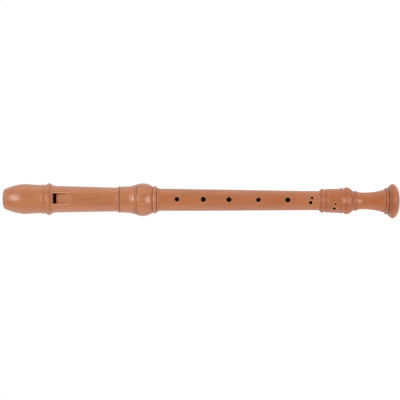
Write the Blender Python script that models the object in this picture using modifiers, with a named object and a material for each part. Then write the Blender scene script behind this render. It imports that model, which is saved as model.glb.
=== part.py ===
"""Alto recorder in three turned wooden joints, standing on its bell.

Metres, +Z up the bore, origin in the middle of the bell's end face. The window
and the finger holes face -Y, the thumb hole faces +Y. Every wooden joint is drawn
from its own upper end or shoulder downwards, so heights in a joint are negative.
"""

import math

import bmesh
import bpy

# Facets
TURNED_SIDES = 36
HOLE_SIDES = 20
DRUM_SIDES = 128

# Fits between pieces
FIT_GAP = 0.0003
SEAT_GAP = 0.0003
SOCKET_END_GAP = 0.0006
EDGE_BREAK = 0.0004

# Beak of the head joint, from its tip down
BEAK_TIP_RADIUS = 0.01293
BEAK_LIP = 0.0003
BEAK_SWELL_LENGTH = 0.0251
BEAK_BEND = 1.7
BEAK_RADIUS = 0.0191
BEAK_WAIST_LENGTH = 0.0194
BEAK_WAIST_RADIUS = 0.0181
BEAK_CUT_LENGTH = 0.0480
BEAK_CUT_OFFSET = 0.0003

# Ring and bead under the beak
HEAD_COLLAR_LENGTH = 0.0035
HEAD_COLLAR_RADIUS = 0.0182
HEAD_RING_LENGTH = 0.0024
HEAD_RING_RADIUS = 0.0188
HEAD_GROOVE_LENGTH = 0.0021
HEAD_GROOVE_RADIUS = 0.0181
HEAD_BEAD_LENGTH = 0.0084
HEAD_BEAD_RADIUS = 0.02035
HEAD_COVE_LENGTH = 0.0090
HEAD_COVE_TOP_RADIUS = 0.0178

# Barrel of the head, which the window is cut in
BARREL_LENGTH = 0.0700
BARREL_TOP_RADIUS = 0.0169
BARREL_END_RADIUS = 0.0153

# Fine ridge with a scored line under it
RIDGE_FLARE_LENGTH = 0.0048
RIDGE_FLARE_RADIUS = 0.0158
RIDGE_RISE_LENGTH = 0.0008
RIDGE_LENGTH = 0.0008
RIDGE_RADIUS = 0.0173
RIDGE_SCORE_LENGTH = 0.0020
RIDGE_SCORE_RADIUS = 0.0158

# Socket of the head: sleeve, double line and bulb
SLEEVE_LENGTH = 0.0051
SLEEVE_TOP_RADIUS = 0.0168
SLEEVE_RADIUS = 0.01675
SLEEVE_FLARE_LENGTH = 0.0127
SLEEVE_FLARE_RADIUS = 0.0187
SCORE_LENGTH = 0.0007
SCORE_DEPTH = 0.0004
FILLET_LENGTH = 0.0018
FILLET_RADIUS = 0.0194
FILLET_END_RADIUS = 0.0193
BULB_TOP_RADIUS = 0.0201
BULB_RISE_LENGTH = 0.0070
BULB_RADIUS = 0.0209
BULB_FALL_LENGTH = 0.0115
BULB_END_RADIUS = 0.0174

# Groove and beads at the mouth of the head's socket
MOUTH_GROOVE_LENGTH = 0.0016
MOUTH_GROOVE_RADIUS = 0.0163
MOUTH_BEAD_TOP_RADIUS = 0.0170
MOUTH_BEAD_LENGTH = 0.0040
MOUTH_BEAD_RADIUS = 0.0177
MOUTH_BEAD_END_RADIUS = 0.0168
MOUTH_STEP_LENGTH = 0.0008
MOUTH_STEP_RADIUS = 0.0151
MOUTH_LIP_LENGTH = 0.0020
MOUTH_LIP_RADIUS = 0.0154
MOUTH_LIP_END_RADIUS = 0.0148
MOUTH_EDGE_LENGTH = 0.0008
MOUTH_EDGE_RADIUS = 0.0143

# Bore of the head, block and windway
HEAD_BORE_RADIUS = 0.0097
BLOCK_LENGTH = 0.0635
WINDWAY_WIDTH = 0.0125
WINDWAY_HEIGHT = 0.0015
WINDWAY_ARCH_RADIUS = 0.0140
WINDWAY_FLOOR_DEPTH = 0.0084

# Window and the ramp that rises from its lip
WINDOW_LENGTH = 0.0041
WINDOW_WIDTH = 0.0138
RAMP_LENGTH = 0.0211
RAMP_ARCH_RADIUS = 0.0260
LIP_THICKNESS = 0.0005

# Middle joint
MIDDLE_LENGTH = 0.2011
MIDDLE_TOP_RADIUS = 0.01425
MIDDLE_END_RADIUS = 0.0124
MIDDLE_BORE_TOP_RADIUS = 0.0094
MIDDLE_BORE_END_RADIUS = 0.0073

# Tenons and the cork bands round them
UPPER_TENON_LENGTH = 0.0250
UPPER_TENON_RADIUS = 0.0122
UPPER_CORK_LENGTH = 0.0150
UPPER_CORK_OFFSET = 0.0045
LOWER_TENON_LENGTH = 0.0150
LOWER_TENON_RADIUS = 0.0103
LOWER_CORK_LENGTH = 0.0085
LOWER_CORK_OFFSET = 0.0030
CORK_THICKNESS = 0.0010

# Finger holes of the middle joint: depth below its upper shoulder and diameter,
# and for the double sixth hole the rise above its lower shoulder
HOLE_1_DEPTH = 0.0225
HOLE_1_DIAMETER = 0.0060
HOLE_2_DEPTH = 0.0558
HOLE_2_DIAMETER = 0.0069
HOLE_3_DEPTH = 0.0880
HOLE_3_DIAMETER = 0.0069
HOLE_4_DEPTH = 0.1252
HOLE_4_DIAMETER = 0.0061
HOLE_5_DEPTH = 0.1623
HOLE_5_DIAMETER = 0.0070
HOLE_6_SMALL_RISE = 0.0082
HOLE_6_SMALL_DIAMETER = 0.0036
HOLE_6_SMALL_TURN = math.radians(13.8)
HOLE_6_LARGE_RISE = 0.0098
HOLE_6_LARGE_DIAMETER = 0.0050
HOLE_6_LARGE_TURN = math.radians(-15.7)
THUMB_HOLE_DEPTH = 0.0104
THUMB_HOLE_DIAMETER = 0.0060

# Finger holes of the foot joint: depth below its upper end, and its turn at rest
HOLE_7_SMALL_DEPTH = 0.0208
HOLE_7_SMALL_DIAMETER = 0.0032
HOLE_7_LARGE_DEPTH = 0.0198
HOLE_7_LARGE_DIAMETER = 0.0045
HOLE_7_HALF_SPREAD = math.radians(11.8)
FOOT_TURN = math.radians(-31.5)

# Foot joint, from its upper end down
FOOT_LIP_RADIUS = 0.0122
FOOT_FLARE_LENGTH = 0.0028
FOOT_FLARE_RADIUS = 0.0136
FOOT_BEAD_LENGTH = 0.0056
FOOT_BEAD_RADIUS = 0.0155
FOOT_GROOVE_LENGTH = 0.0012
FOOT_GROOVE_RADIUS = 0.0143
FOOT_RING_LENGTH = 0.0030
FOOT_RING_RADIUS = 0.0154
KEG_LENGTH = 0.0154
KEG_TOP_RADIUS = 0.0152
KEG_END_RADIUS = 0.0157
KEG_RING_LENGTH = 0.0036
KEG_RING_RADIUS = 0.0165
KEG_GROOVE_LENGTH = 0.0016
KEG_GROOVE_TOP_RADIUS = 0.0159
KEG_GROOVE_RADIUS = 0.0157
KEG_BEAD_LENGTH = 0.0068
KEG_BEAD_RADIUS = 0.0175
KEG_BEAD_END_RADIUS = 0.0163
WAIST_COVE_LENGTH = 0.0056
WAIST_COVE_RADIUS = 0.0128
WAIST_GROOVE_LENGTH = 0.0016
WAIST_GROOVE_RADIUS = 0.0120
WAIST_RING_TOP_RADIUS = 0.0126
WAIST_RING_LENGTH = 0.0026
WAIST_RING_RADIUS = 0.0131
WAIST_RING_END_RADIUS = 0.0120
WAIST_LENGTH = 0.0070
NECK_LENGTH = 0.0032
NECK_RADIUS = 0.01095

# Bell of the foot joint
BELL_FLARE_LENGTH = 0.0248
BELL_FLARE_RADIUS = 0.0150
BELL_STEP_LENGTH = 0.0008
BELL_STEP_RADIUS = 0.0160
BELL_RING_LENGTH = 0.0022
BELL_RING_RADIUS = 0.0172
BELL_RING_END_RADIUS = 0.0166
BELL_SCORE_LENGTH = 0.0013
BELL_SCORE_RADIUS = 0.0161
BELL_BROW_RADIUS = 0.0172
BELL_SLOPE_LENGTH = 0.0033
BELL_SLOPE_RADIUS = 0.0205
BELL_ROUND_LENGTH = 0.0032
BELL_RADIUS = 0.02224
BELL_ROLL_LENGTH = 0.0061
BELL_FACE_RADIUS = 0.0140

# Bore of the foot joint
FOOT_BORE_TOP_RADIUS = 0.0071
THROAT_RADIUS = 0.0062
THROAT_HEIGHT = 0.0380
BELL_BORE_RADIUS = 0.0068
BELL_BORE_BREAK = 0.0010

# Room that the cutters run past the wood
OVERCUT = 0.0100

# Colours in linear RGB
PEARWOOD = (0.514, 0.184, 0.082)
CEDAR = (0.430, 0.190, 0.105)
CORK = (0.560, 0.330, 0.150)


class Outline:
    """Half section of a turned piece, as radii and heights followed downwards."""

    def __init__(self, radius, height):
        self.points = [(radius, height)]

    def line(self, length, radius):
        """Go straight to a radius that is a length further down."""
        height = self.points[-1][1]
        self.points.append((radius, height - length))

    def swell(self, length, radius, steps, bend=2.0):
        """Curve to a radius, steeply at first and along the axis at the end."""
        start, top = self.points[-1]
        for step in range(1, steps + 1):
            way = step / steps
            share = 1 - (1 - way) ** bend
            self.points.append((start + (radius - start) * share, top - length * way))

    def flare(self, length, radius, steps):
        """Curve to a radius, along the axis at first and steeply at the end."""
        start, top = self.points[-1]
        for step in range(1, steps + 1):
            way = step / steps
            self.points.append((start + (radius - start) * way**2, top - length * way))

    def ease(self, length, radius, steps):
        """Curve to a radius, along the axis at both ends."""
        start, top = self.points[-1]
        for step in range(1, steps + 1):
            way = step / steps
            share = (1 - math.cos(math.pi * way)) / 2
            self.points.append((start + (radius - start) * share, top - length * way))

    def bead(self, length, crown, radius, half_steps):
        """Arch out to a crown radius, or groove in to it, ending at a radius."""
        start, top = self.points[-1]
        for step in range(1, 2 * half_steps + 1):
            way = step / half_steps
            side = start if step <= half_steps else radius
            share = 1 - (1 - way) ** 2
            self.points.append((side + (crown - side) * share, top - length * way / 2))

    def end(self):
        """Height of the outline's last point."""
        return self.points[-1][1]


def clear_scene():
    """Remove every object that is already there."""
    for item in list(bpy.data.objects):
        bpy.data.objects.remove(item, do_unlink=True)


def new_collection(name):
    """Add a collection to the scene."""
    collection = bpy.data.collections.new(name)
    bpy.context.scene.collection.children.link(collection)
    return collection


def wood_material(name, colour, roughness):
    """A plain surface of one colour and sheen."""
    material = bpy.data.materials.new(name)
    material.use_nodes = True
    surface = material.node_tree.nodes["Principled BSDF"]
    surface.inputs["Base Color"].default_value = (*colour, 1.0)
    surface.inputs["Roughness"].default_value = roughness
    surface.inputs["Metallic"].default_value = 0.0
    return material


def place(name, mesh, collection, parent, location):
    """Make an object of a mesh, at a place in its parent's frame."""
    item = bpy.data.objects.new(name, mesh)
    item.parent = parent
    item.location = location
    collection.objects.link(item)
    return item


def turned_piece(name, outline, collection, parent, height, material):
    """Turn a closed half section round the Z axis."""
    mesh = bpy.data.meshes.new(name)
    count = len(outline)
    edges = [(index, (index + 1) % count) for index in range(count)]
    mesh.from_pydata([(radius, 0, level) for radius, level in outline], edges, [])
    mesh.materials.append(material)
    piece = place(name, mesh, collection, parent, (0, 0, height))
    lathe = piece.modifiers.new("Turning", "SCREW")
    lathe.axis = "Z"
    lathe.steps = TURNED_SIDES
    lathe.render_steps = TURNED_SIDES
    lathe.use_merge_vertices = True
    lathe.merge_threshold = 0.00001
    lathe.use_smooth_shade = True
    return piece


def box_tool(name, low, high, parent, location=(0, 0, 0)):
    """A box between two corners, given in the frame of the place where it stands."""
    mesh = bpy.data.meshes.new(name)
    shape = bmesh.new()
    bmesh.ops.create_cube(shape, size=1.0)
    sizes = [top - bottom for bottom, top in zip(low, high)]
    middle = [(top + bottom) / 2 for bottom, top in zip(low, high)]
    bmesh.ops.scale(shape, vec=sizes, verts=shape.verts)
    bmesh.ops.translate(shape, vec=middle, verts=shape.verts)
    shape.to_mesh(mesh)
    shape.free()
    return as_tool(place(name, mesh, tools, parent, location))


def rod_mesh(name, radius, low, high, sides):
    """A cylinder on the Z axis between two heights."""
    mesh = bpy.data.meshes.new(name)
    shape = bmesh.new()
    bmesh.ops.create_cone(
        shape, cap_ends=True, segments=sides, radius1=radius, radius2=radius, depth=high - low
    )
    bmesh.ops.translate(shape, vec=(0, 0, (high + low) / 2), verts=shape.verts)
    shape.to_mesh(mesh)
    shape.free()
    return mesh


def rod_tool(name, radius, low, high, sides, parent, location):
    """A cylindrical cutter that stands at a place between two heights."""
    mesh = rod_mesh(name, radius, low, high, sides)
    return as_tool(place(name, mesh, tools, parent, location))


def as_tool(item):
    """Show a cutter as wire only."""
    item.hide_render = True
    item.display_type = "WIRE"
    return item


def carve(piece, tool, operation="DIFFERENCE"):
    """Cut a piece with a tool, or keep only what both hold."""
    cut = piece.modifiers.new(tool.name, "BOOLEAN")
    cut.operation = operation
    cut.solver = "EXACT"
    cut.object = tool


def drill(piece, name, depth, diameter, turn, wall_radius):
    """Drill a finger hole from outside to the bore's axis, turned from -Y towards +X."""
    reach = wall_radius + OVERCUT
    bit = rod_tool(name, diameter / 2, 0, reach, HOLE_SIDES, piece, (0, 0, -depth))
    bit.rotation_euler = (math.pi / 2, 0, turn)
    carve(piece, bit)


def cork_recess_radius(tenon_radius):
    """Radius of the recess that a cork band lies in."""
    return tenon_radius - CORK_THICKNESS - FIT_GAP


def build_foot(parent):
    """Foot joint: socket, keg with the seventh hole, waist and bell."""
    outline = Outline(FOOT_LIP_RADIUS, 0)
    outline.flare(FOOT_FLARE_LENGTH, FOOT_FLARE_RADIUS, 3)
    outline.bead(FOOT_BEAD_LENGTH, FOOT_BEAD_RADIUS, FOOT_GROOVE_RADIUS, 4)
    outline.line(FOOT_GROOVE_LENGTH, FOOT_GROOVE_RADIUS)
    outline.bead(FOOT_RING_LENGTH, FOOT_RING_RADIUS, KEG_TOP_RADIUS, 2)
    outline.line(KEG_LENGTH, KEG_END_RADIUS)
    outline.bead(KEG_RING_LENGTH, KEG_RING_RADIUS, KEG_GROOVE_TOP_RADIUS, 3)
    outline.line(KEG_GROOVE_LENGTH, KEG_GROOVE_RADIUS)
    outline.bead(KEG_BEAD_LENGTH, KEG_BEAD_RADIUS, KEG_BEAD_END_RADIUS, 4)
    outline.ease(WAIST_COVE_LENGTH, WAIST_COVE_RADIUS, 5)
    outline.bead(WAIST_GROOVE_LENGTH, WAIST_GROOVE_RADIUS, WAIST_RING_TOP_RADIUS, 2)
    outline.bead(WAIST_RING_LENGTH, WAIST_RING_RADIUS, WAIST_RING_END_RADIUS, 2)
    outline.swell(WAIST_LENGTH, NECK_RADIUS, 4)
    outline.line(NECK_LENGTH, NECK_RADIUS)
    outline.flare(BELL_FLARE_LENGTH, BELL_FLARE_RADIUS, 6)
    outline.line(BELL_STEP_LENGTH, BELL_STEP_RADIUS)
    outline.bead(BELL_RING_LENGTH, BELL_RING_RADIUS, BELL_RING_END_RADIUS, 2)
    outline.bead(BELL_SCORE_LENGTH, BELL_SCORE_RADIUS, BELL_BROW_RADIUS, 2)
    outline.line(BELL_SLOPE_LENGTH, BELL_SLOPE_RADIUS)
    outline.swell(BELL_ROUND_LENGTH, BELL_RADIUS, 3)
    outline.flare(BELL_ROLL_LENGTH, BELL_FACE_RADIUS, 4)
    face = outline.end()
    socket_radius = LOWER_TENON_RADIUS + FIT_GAP
    socket_floor = SEAT_GAP - LOWER_TENON_LENGTH - SOCKET_END_GAP
    bore = [
        (BELL_BORE_RADIUS + BELL_BORE_BREAK, face),
        (BELL_BORE_RADIUS, face + BELL_BORE_BREAK),
        (THROAT_RADIUS, face + THROAT_HEIGHT),
        (FOOT_BORE_TOP_RADIUS, socket_floor),
        (socket_radius, socket_floor),
        (socket_radius, -EDGE_BREAK),
        (socket_radius + EDGE_BREAK, 0),
    ]
    foot = turned_piece("foot_joint", outline.points + bore, parts, parent, -face, pearwood)
    foot.rotation_euler.z = FOOT_TURN
    small_turn = HOLE_7_HALF_SPREAD
    large_turn = -HOLE_7_HALF_SPREAD
    drill(foot, "hole_7_small", HOLE_7_SMALL_DEPTH, HOLE_7_SMALL_DIAMETER, small_turn, KEG_END_RADIUS)
    drill(foot, "hole_7_large", HOLE_7_LARGE_DEPTH, HOLE_7_LARGE_DIAMETER, large_turn, KEG_END_RADIUS)
    return foot


def build_middle(parent, height):
    """Middle joint: tapered tube with a tenon at each end, six finger holes and the thumb hole."""
    upper_recess = cork_recess_radius(UPPER_TENON_RADIUS)
    lower_recess = cork_recess_radius(LOWER_TENON_RADIUS)
    upper_recess_end = UPPER_CORK_OFFSET
    upper_recess_top = UPPER_CORK_OFFSET + UPPER_CORK_LENGTH + 2 * FIT_GAP
    lower_shoulder = -MIDDLE_LENGTH
    lower_recess_top = lower_shoulder - LOWER_CORK_OFFSET
    lower_recess_end = lower_recess_top - LOWER_CORK_LENGTH - 2 * FIT_GAP
    tenon_top = UPPER_TENON_LENGTH
    tenon_end = lower_shoulder - LOWER_TENON_LENGTH
    outline = [
        (UPPER_TENON_RADIUS - EDGE_BREAK, tenon_top),
        (UPPER_TENON_RADIUS, tenon_top - EDGE_BREAK),
        (UPPER_TENON_RADIUS, upper_recess_top),
        (upper_recess, upper_recess_top),
        (upper_recess, upper_recess_end),
        (UPPER_TENON_RADIUS, upper_recess_end),
        (UPPER_TENON_RADIUS, 0),
        (MIDDLE_TOP_RADIUS - EDGE_BREAK, 0),
        (MIDDLE_TOP_RADIUS, -EDGE_BREAK),
        (MIDDLE_END_RADIUS, lower_shoulder + EDGE_BREAK),
        (MIDDLE_END_RADIUS - EDGE_BREAK, lower_shoulder),
        (LOWER_TENON_RADIUS, lower_shoulder),
        (LOWER_TENON_RADIUS, lower_recess_top),
        (lower_recess, lower_recess_top),
        (lower_recess, lower_recess_end),
        (LOWER_TENON_RADIUS, lower_recess_end),
        (LOWER_TENON_RADIUS, tenon_end + EDGE_BREAK),
        (LOWER_TENON_RADIUS - EDGE_BREAK, tenon_end),
        (MIDDLE_BORE_END_RADIUS, tenon_end),
        (MIDDLE_BORE_TOP_RADIUS, tenon_top),
    ]
    middle = turned_piece("middle_joint", outline, parts, parent, height, pearwood)
    small_depth = MIDDLE_LENGTH - HOLE_6_SMALL_RISE
    large_depth = MIDDLE_LENGTH - HOLE_6_LARGE_RISE
    holes = [
        ("hole_1", HOLE_1_DEPTH, HOLE_1_DIAMETER, 0),
        ("hole_2", HOLE_2_DEPTH, HOLE_2_DIAMETER, 0),
        ("hole_3", HOLE_3_DEPTH, HOLE_3_DIAMETER, 0),
        ("hole_4", HOLE_4_DEPTH, HOLE_4_DIAMETER, 0),
        ("hole_5", HOLE_5_DEPTH, HOLE_5_DIAMETER, 0),
        ("hole_6_small", small_depth, HOLE_6_SMALL_DIAMETER, HOLE_6_SMALL_TURN),
        ("hole_6_large", large_depth, HOLE_6_LARGE_DIAMETER, HOLE_6_LARGE_TURN),
        ("thumb_hole", THUMB_HOLE_DEPTH, THUMB_HOLE_DIAMETER, math.pi),
    ]
    for name, depth, diameter, turn in holes:
        drill(middle, name, depth, diameter, turn, MIDDLE_TOP_RADIUS)
    build_cork("upper_tenon_cork", UPPER_TENON_RADIUS, UPPER_CORK_LENGTH, middle, upper_recess_end)
    build_cork("lower_tenon_cork", LOWER_TENON_RADIUS, LOWER_CORK_LENGTH, middle, lower_recess_end)


def build_cork(name, radius, length, middle, recess_end):
    """Band of cork in its recess, pressed down to the tenon's own radius."""
    inside = cork_recess_radius(radius) + FIT_GAP
    outline = [
        (radius, length),
        (radius, 0),
        (inside, 0),
        (inside, length),
    ]
    turned_piece(name, outline, parts, middle, recess_end + FIT_GAP, cork)


def head_outline():
    """Half section of the head joint, from the beak's tip to the socket's mouth and up the bore."""
    outline = Outline(BEAK_TIP_RADIUS - BEAK_LIP, 0)
    outline.line(BEAK_LIP, BEAK_TIP_RADIUS)
    outline.swell(BEAK_SWELL_LENGTH, BEAK_RADIUS, 6, BEAK_BEND)
    outline.ease(BEAK_WAIST_LENGTH, BEAK_WAIST_RADIUS, 4)
    outline.line(HEAD_COLLAR_LENGTH, HEAD_COLLAR_RADIUS)
    outline.bead(HEAD_RING_LENGTH, HEAD_RING_RADIUS, HEAD_COLLAR_RADIUS, 2)
    outline.line(HEAD_GROOVE_LENGTH, HEAD_GROOVE_RADIUS)
    outline.bead(HEAD_BEAD_LENGTH, HEAD_BEAD_RADIUS, HEAD_COVE_TOP_RADIUS, 4)
    outline.swell(HEAD_COVE_LENGTH, BARREL_TOP_RADIUS, 3)
    outline.line(BARREL_LENGTH, BARREL_END_RADIUS)
    outline.flare(RIDGE_FLARE_LENGTH, RIDGE_FLARE_RADIUS, 2)
    outline.line(RIDGE_RISE_LENGTH, RIDGE_RADIUS)
    outline.line(RIDGE_LENGTH, RIDGE_RADIUS)
    outline.bead(RIDGE_SCORE_LENGTH, RIDGE_SCORE_RADIUS, SLEEVE_TOP_RADIUS, 2)
    outline.line(SLEEVE_LENGTH, SLEEVE_RADIUS)
    outline.flare(SLEEVE_FLARE_LENGTH, SLEEVE_FLARE_RADIUS, 4)
    outline.bead(SCORE_LENGTH, SLEEVE_FLARE_RADIUS - SCORE_DEPTH, SLEEVE_FLARE_RADIUS, 1)
    outline.bead(FILLET_LENGTH, FILLET_RADIUS, FILLET_END_RADIUS, 2)
    outline.bead(SCORE_LENGTH, FILLET_END_RADIUS - SCORE_DEPTH, BULB_TOP_RADIUS, 1)
    outline.swell(BULB_RISE_LENGTH, BULB_RADIUS, 3)
    outline.flare(BULB_FALL_LENGTH, BULB_END_RADIUS, 5)
    outline.bead(MOUTH_GROOVE_LENGTH, MOUTH_GROOVE_RADIUS, MOUTH_BEAD_TOP_RADIUS, 2)
    outline.bead(MOUTH_BEAD_LENGTH, MOUTH_BEAD_RADIUS, MOUTH_BEAD_END_RADIUS, 3)
    outline.line(MOUTH_STEP_LENGTH, MOUTH_STEP_RADIUS)
    outline.bead(MOUTH_LIP_LENGTH, MOUTH_LIP_RADIUS, MOUTH_LIP_END_RADIUS, 2)
    outline.line(MOUTH_EDGE_LENGTH, MOUTH_EDGE_RADIUS)
    mouth = outline.end()
    socket_radius = UPPER_TENON_RADIUS + FIT_GAP
    socket_floor = mouth - SEAT_GAP + UPPER_TENON_LENGTH + SOCKET_END_GAP
    inside = [
        (socket_radius + EDGE_BREAK, mouth),
        (socket_radius, mouth + EDGE_BREAK),
        (socket_radius, socket_floor),
        (HEAD_BORE_RADIUS, socket_floor),
        (HEAD_BORE_RADIUS, 0),
    ]
    return outline.points + inside, mouth


def windway_tool(head):
    """Arched channel cut into the bore's front wall, over the block's whole length."""
    arch_centre = WINDWAY_ARCH_RADIUS - WINDWAY_FLOOR_DEPTH
    roof_radius = WINDWAY_ARCH_RADIUS + WINDWAY_HEIGHT
    half_width = WINDWAY_WIDTH / 2
    channel = box_tool(
        "windway",
        (-half_width, -HEAD_BORE_RADIUS - OVERCUT, -BLOCK_LENGTH),
        (half_width, -half_width, OVERCUT),
        head,
    )
    roof = rod_tool(
        "windway_roof",
        roof_radius,
        -BLOCK_LENGTH - OVERCUT,
        2 * OVERCUT,
        DRUM_SIDES,
        head,
        (0, arch_centre, 0),
    )
    carve(channel, roof, "INTERSECT")
    return channel


def window_tool(head):
    """Slot through the front wall, from the windway's end to the ramp's lip."""
    half_width = WINDOW_WIDTH / 2
    return box_tool(
        "window",
        (-half_width, -BARREL_TOP_RADIUS - OVERCUT, -BLOCK_LENGTH - WINDOW_LENGTH),
        (half_width, 0, -BLOCK_LENGTH),
        head,
    )


def ramp_tool(head):
    """Arched ramp that rises from the lip at the bore to the barrel's surface."""
    lip_level = HEAD_BORE_RADIUS + LIP_THICKNESS
    climb = BARREL_TOP_RADIUS - lip_level
    slope = math.atan2(climb, RAMP_LENGTH)
    half_width = WINDOW_WIDTH / 2
    ramp = box_tool(
        "ramp",
        (-half_width, -OVERCUT, -RAMP_LENGTH - OVERCUT),
        (half_width, half_width, 0),
        head,
        (0, -lip_level, -BLOCK_LENGTH - WINDOW_LENGTH),
    )
    ramp.rotation_euler.x = -slope
    core = rod_tool(
        "ramp_core",
        RAMP_ARCH_RADIUS,
        -RAMP_LENGTH - 2 * OVERCUT,
        OVERCUT,
        DRUM_SIDES,
        ramp,
        (0, RAMP_ARCH_RADIUS, 0),
    )
    carve(ramp, core)
    return ramp


def beak_tool(head):
    """Large drum that hollows the back of the beak, flush through head and block."""
    rise = BEAK_WAIST_RADIUS - BEAK_CUT_OFFSET
    drum_radius = (BEAK_CUT_LENGTH**2 + rise**2) / (2 * rise)
    half_width = BEAK_RADIUS + OVERCUT
    drum = rod_tool(
        "beak_cut",
        drum_radius,
        -half_width,
        half_width,
        DRUM_SIDES,
        head,
        (0, BEAK_CUT_OFFSET + drum_radius, 0),
    )
    drum.rotation_euler.y = math.pi / 2
    return drum


def build_head(parent, height):
    """Head joint with its windway, window, ramp and hollowed beak, and the block inside it."""
    outline, mouth = head_outline()
    head = turned_piece("head_joint", outline, parts, parent, height - mouth, pearwood)
    beak = beak_tool(head)
    carve(head, windway_tool(head))
    carve(head, window_tool(head))
    carve(head, ramp_tool(head))
    carve(head, beak)

    block_mesh = rod_mesh("block", HEAD_BORE_RADIUS - FIT_GAP, 0, BLOCK_LENGTH, TURNED_SIDES)
    block_mesh.materials.append(cedar)
    block_mesh.shade_smooth()
    block = place("block", block_mesh, parts, head, (0, 0, -BLOCK_LENGTH))
    floor = rod_tool(
        "windway_floor",
        WINDWAY_ARCH_RADIUS,
        -OVERCUT,
        BLOCK_LENGTH + OVERCUT,
        DRUM_SIDES,
        block,
        (0, WINDWAY_ARCH_RADIUS - WINDWAY_FLOOR_DEPTH, 0),
    )
    carve(block, floor, "INTERSECT")
    carve(block, beak)


clear_scene()
parts = new_collection("alto_recorder")
tools = new_collection("cutters")
pearwood = wood_material("pearwood", PEARWOOD, 0.38)
cedar = wood_material("cedar", CEDAR, 0.70)
cork = wood_material("cork", CORK, 0.85)

stand = bpy.data.objects.new("alto_recorder_frame", None)
parts.objects.link(stand)
foot_joint = build_foot(stand)
middle_height = foot_joint.location.z + SEAT_GAP + MIDDLE_LENGTH
build_middle(stand, middle_height)
build_head(stand, middle_height + SEAT_GAP)
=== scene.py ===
"""Alto recorder of pearwood in three turned joints.

Metres, +Z up the bore. The recorder stands on its bell, its window and finger holes
face -Y, and the camera is turned on its side, so that the beak is at the left.
"""

import math

import bpy
from mathutils import Matrix, Vector


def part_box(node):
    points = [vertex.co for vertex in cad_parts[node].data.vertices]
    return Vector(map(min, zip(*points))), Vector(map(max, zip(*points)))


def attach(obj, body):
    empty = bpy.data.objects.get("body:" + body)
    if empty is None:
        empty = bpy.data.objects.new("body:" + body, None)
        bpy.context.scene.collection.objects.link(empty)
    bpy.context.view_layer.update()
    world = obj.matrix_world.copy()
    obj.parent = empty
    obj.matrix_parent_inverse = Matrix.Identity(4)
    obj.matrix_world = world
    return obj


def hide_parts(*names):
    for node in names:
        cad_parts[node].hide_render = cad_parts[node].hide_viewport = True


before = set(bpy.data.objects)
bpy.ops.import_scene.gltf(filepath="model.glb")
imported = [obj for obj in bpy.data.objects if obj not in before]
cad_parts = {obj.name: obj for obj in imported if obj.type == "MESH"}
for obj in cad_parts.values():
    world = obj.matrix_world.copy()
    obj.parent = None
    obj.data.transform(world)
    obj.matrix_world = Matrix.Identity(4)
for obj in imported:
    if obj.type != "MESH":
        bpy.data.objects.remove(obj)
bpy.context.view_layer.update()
bpy.ops.object.select_all(action="DESELECT")

# Foot joint. One piece of pearwood, turned between centres with its socket, keg,
# waist and bell, and drilled askew with the double seventh hole, which the player
# turns towards the little finger. It slips over the middle joint's lower tenon.

FOOT_LIP_RADIUS = 0.0122
FOOT_FLARE_LENGTH = 0.0028
FOOT_FLARE_RADIUS = 0.0136
FOOT_BEAD_LENGTH = 0.0056
FOOT_BEAD_RADIUS = 0.0155
FOOT_GROOVE_LENGTH = 0.0012
FOOT_GROOVE_RADIUS = 0.0143
FOOT_RING_LENGTH = 0.0030
FOOT_RING_RADIUS = 0.0154
KEG_LENGTH = 0.0154
KEG_TOP_RADIUS = 0.0152
KEG_END_RADIUS = 0.0157
KEG_RING_LENGTH = 0.0036
KEG_RING_RADIUS = 0.0165
KEG_GROOVE_LENGTH = 0.0016
KEG_GROOVE_TOP_RADIUS = 0.0159
KEG_GROOVE_RADIUS = 0.0157
KEG_BEAD_LENGTH = 0.0068
KEG_BEAD_RADIUS = 0.0175
KEG_BEAD_END_RADIUS = 0.0163
WAIST_COVE_LENGTH = 0.0056
WAIST_COVE_RADIUS = 0.0128
WAIST_GROOVE_LENGTH = 0.0016
WAIST_GROOVE_RADIUS = 0.0120
WAIST_RING_TOP_RADIUS = 0.0126
WAIST_RING_LENGTH = 0.0026
WAIST_RING_RADIUS = 0.0131
WAIST_RING_END_RADIUS = 0.0120
WAIST_LENGTH = 0.0070
NECK_LENGTH = 0.0032
NECK_RADIUS = 0.01095
BELL_FLARE_LENGTH = 0.0248
BELL_FLARE_RADIUS = 0.0150
BELL_STEP_LENGTH = 0.0008
BELL_STEP_RADIUS = 0.0160
BELL_RING_LENGTH = 0.0022
BELL_RING_RADIUS = 0.0172
BELL_RING_END_RADIUS = 0.0166
BELL_SCORE_LENGTH = 0.0013
BELL_SCORE_RADIUS = 0.0161
BELL_BROW_RADIUS = 0.0172
BELL_SLOPE_LENGTH = 0.0033
BELL_SLOPE_RADIUS = 0.0205
BELL_ROUND_LENGTH = 0.0032
BELL_RADIUS = 0.02222
BELL_ROLL_LENGTH = 0.0061
BELL_FACE_RADIUS = 0.0140
BELL_BORE_RADIUS = 0.0068
BELL_BORE_BREAK = 0.0010
THROAT_RADIUS = 0.0062
THROAT_HEIGHT = 0.0380
FOOT_BORE_TOP_RADIUS = 0.0071
FOOT_SOCKET_DEPTH = 0.0153
LOWER_TENON_RADIUS = 0.0103
SOCKET_CLEARANCE = 0.0003
EDGE_BREAK = 0.0004
HOLE_7_SMALL_DEPTH = 0.0208
HOLE_7_SMALL_DIAMETER = 0.0032
HOLE_7_LARGE_DEPTH = 0.0198
HOLE_7_LARGE_DIAMETER = 0.0045
HOLE_7_HALF_SPREAD = math.radians(11.8)
FOOT_TURN = math.radians(-31.5)

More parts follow.
